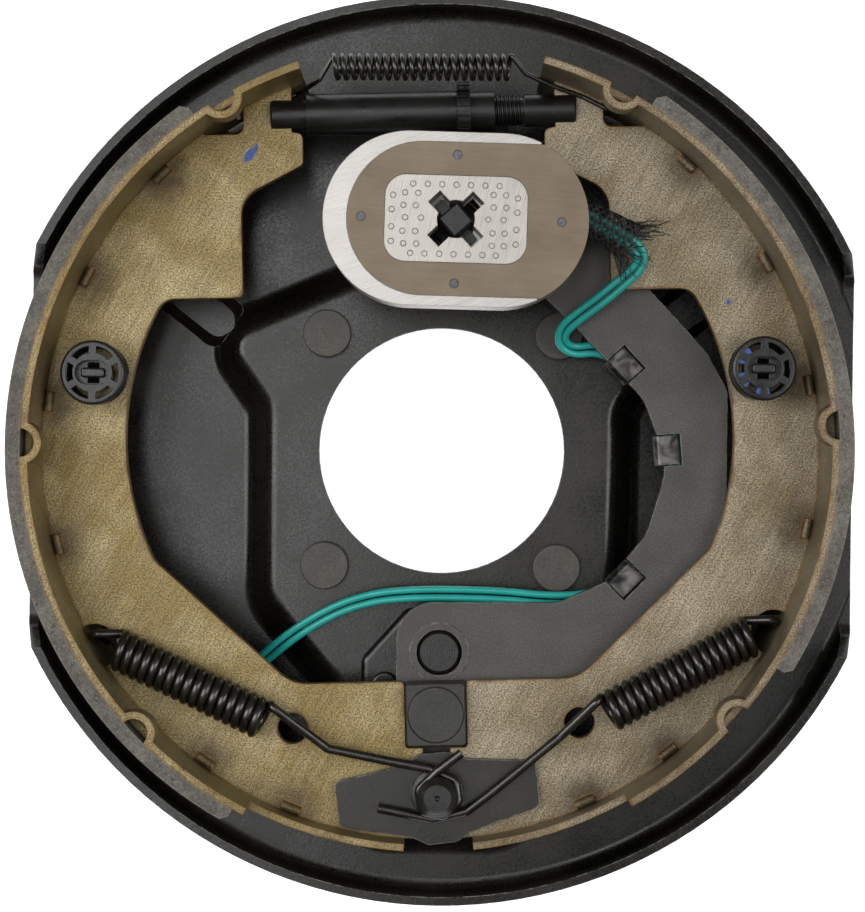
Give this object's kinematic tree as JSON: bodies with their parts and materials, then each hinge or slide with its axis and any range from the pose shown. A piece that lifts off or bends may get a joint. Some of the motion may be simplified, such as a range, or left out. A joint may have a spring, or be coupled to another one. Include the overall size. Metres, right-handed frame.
{
  "type": "electric trailer brake assembly",
  "caption": "Round drum brake on a pressed backing plate: two lined shoes, screw adjuster, return springs, and a lever with an oval electromagnet fed by two leads.",
  "frame": {"origin": "Centre of the pilot hole, in the plane of the mounting face at the back of the raised middle.", "axes": "+Z along the axle, out of the mounting face towards the drum; +Y from the anchor post to the adjuster; +X completes a right-handed frame, on the side of the primary shoe."},
  "size_m": [0.263, 0.2864, 0.074],
  "materials": {
    "black_paint": "satin black coat",
    "dark_steel": "black oxide, lightly worn",
    "spring_steel": "oiled black wire",
    "yellow_zinc": "dull yellow zinc plate",
    "clip_steel": "dark spring clip",
    "bright_steel": "ground steel",
    "friction_lining": "grey-brown friction material",
    "magnet_friction_face": "taupe friction facing",
    "copper_winding": "lacquered copper wire",
    "green_insulation": "teal-green wire insulation",
    "braided_sleeve": "black woven sleeve",
    "black_rubber": "black rubber"
  },
  "bodies": {
    "plate": {"backing_plate": "black_paint", "mounting_studs": "dark_steel", "anchor_support_plate": "black_paint", "support_rivets": "black_paint", "anchor_post": "dark_steel", "lever_pivot_pin": "dark_steel", "shoe_guide_plate": "black_paint", "secondary_hold_down_pin": "dark_steel", "secondary_hold_down_spring": "spring_steel", "secondary_hold_down_cup": "dark_steel", "primary_hold_down_pin": "dark_steel", "primary_hold_down_spring": "spring_steel", "primary_hold_down_cup": "dark_steel", "secondary_return_spring": "spring_steel", "primary_return_spring": "spring_steel", "plate_lead_a": "green_insulation", "plate_lead_b": "green_insulation", "lead_grommet": "black_rubber", "lead_tail_a": "green_insulation", "lead_tail_b": "green_insulation", "adjusting_slot_plug": "black_rubber"},
    "secondary_shoe": {"secondary_shoe_web": "yellow_zinc", "secondary_shoe_table": "yellow_zinc", "secondary_lining": "friction_lining", "adjuster_tube": "dark_steel", "adjuster_spring": "spring_steel"},
    "star_wheel": {"star_wheel_nut": "dark_steel"},
    "adjuster_screw": {"adjuster_screw": "dark_steel"},
    "primary_shoe": {"primary_shoe_web": "yellow_zinc", "primary_shoe_table": "yellow_zinc", "primary_lining": "friction_lining"},
    "lever": {"actuating_lever": "black_paint", "lead_clips": "clip_steel", "lever_block_pin": "dark_steel", "magnet_stud": "dark_steel", "magnet_follow_up_spring": "spring_steel", "lever_lead_a": "green_insulation", "lever_lead_b": "green_insulation", "lead_sleeve": "braided_sleeve"},
    "lever_block": {"lever_block": "dark_steel"},
    "magnet": {"magnet_case": "bright_steel", "magnet_core": "bright_steel", "magnet_facing": "magnet_friction_face", "magnet_coil": "copper_winding", "magnet_face_pins": "bright_steel"}
  },
  "joints": [
    {"name": "lever_pivot", "type": "hinge", "parent": "plate", "child": "lever", "pos_m": [0, -0.0625, 0.015], "axis": [0, 0, 1], "range_deg": [0, 6], "stiffness_Nm_per_rad": 2, "deforming": ["plate_lead_a", "plate_lead_b", "lever_lead_a", "lever_lead_b", "primary_return_spring", "secondary_return_spring", "adjuster_spring"]},
    {"name": "block_swivel", "type": "hinge", "parent": "lever", "child": "lever_block", "pos_m": [-0.00081, -0.08071, 0.02], "axis": [0, 0, 1], "range_deg": [-5.5, 0]},
    {"name": "magnet_float", "type": "slide", "parent": "lever", "child": "magnet", "axis": [0, 0, 1], "range_m": [-0.003, 0], "stiffness_N_per_m": 2000, "springref_m": 0.003, "deforming": ["magnet_follow_up_spring", "lead_sleeve", "lever_lead_a", "lever_lead_b"]},
    {"name": "star_wheel_turn", "type": "hinge", "parent": "secondary_shoe", "child": "star_wheel", "pos_m": [-0.00693, 0.10389, 0.0215], "axis": [0.9995, 0.0332, 0], "range_deg": [0, 1080.5]},
    {"name": "secondary_shoe_swing", "type": "hinge", "parent": "plate", "child": "secondary_shoe", "pos_m": [0, -0.105, 0.0215], "axis": [0, 0, 1], "range_deg": [0, 0.5238], "deforming": ["secondary_return_spring", "adjuster_spring"]},
    {"name": "adjuster_screw_swing", "type": "hinge", "parent": "plate", "child": "adjuster_screw", "pos_m": [0, -0.105, 0.0215], "axis": [0, 0, 1], "range_deg": [-0.53, 0], "deforming": ["primary_return_spring", "adjuster_spring"]},
    {"name": "primary_shoe_swing", "type": "hinge", "parent": "adjuster_screw", "child": "primary_shoe", "pos_m": [0.03355, 0.10523, 0.0215], "axis": [0, 0, 1], "range_deg": [0, 0.61], "deforming": ["primary_return_spring", "adjuster_spring"]}
  ],
  "couplings": [
    {"joint": "block_swivel", "follows": "lever_pivot", "ratio": -0.9},
    {"joint": "primary_shoe_swing", "follows": "lever_pivot", "ratio": 0.1},
    {"joint": "star_wheel_turn", "follows": "secondary_shoe_swing", "ratio": 2061.9},
    {"joint": "adjuster_screw_swing", "follows": "secondary_shoe_swing", "ratio": -1}
  ]
}
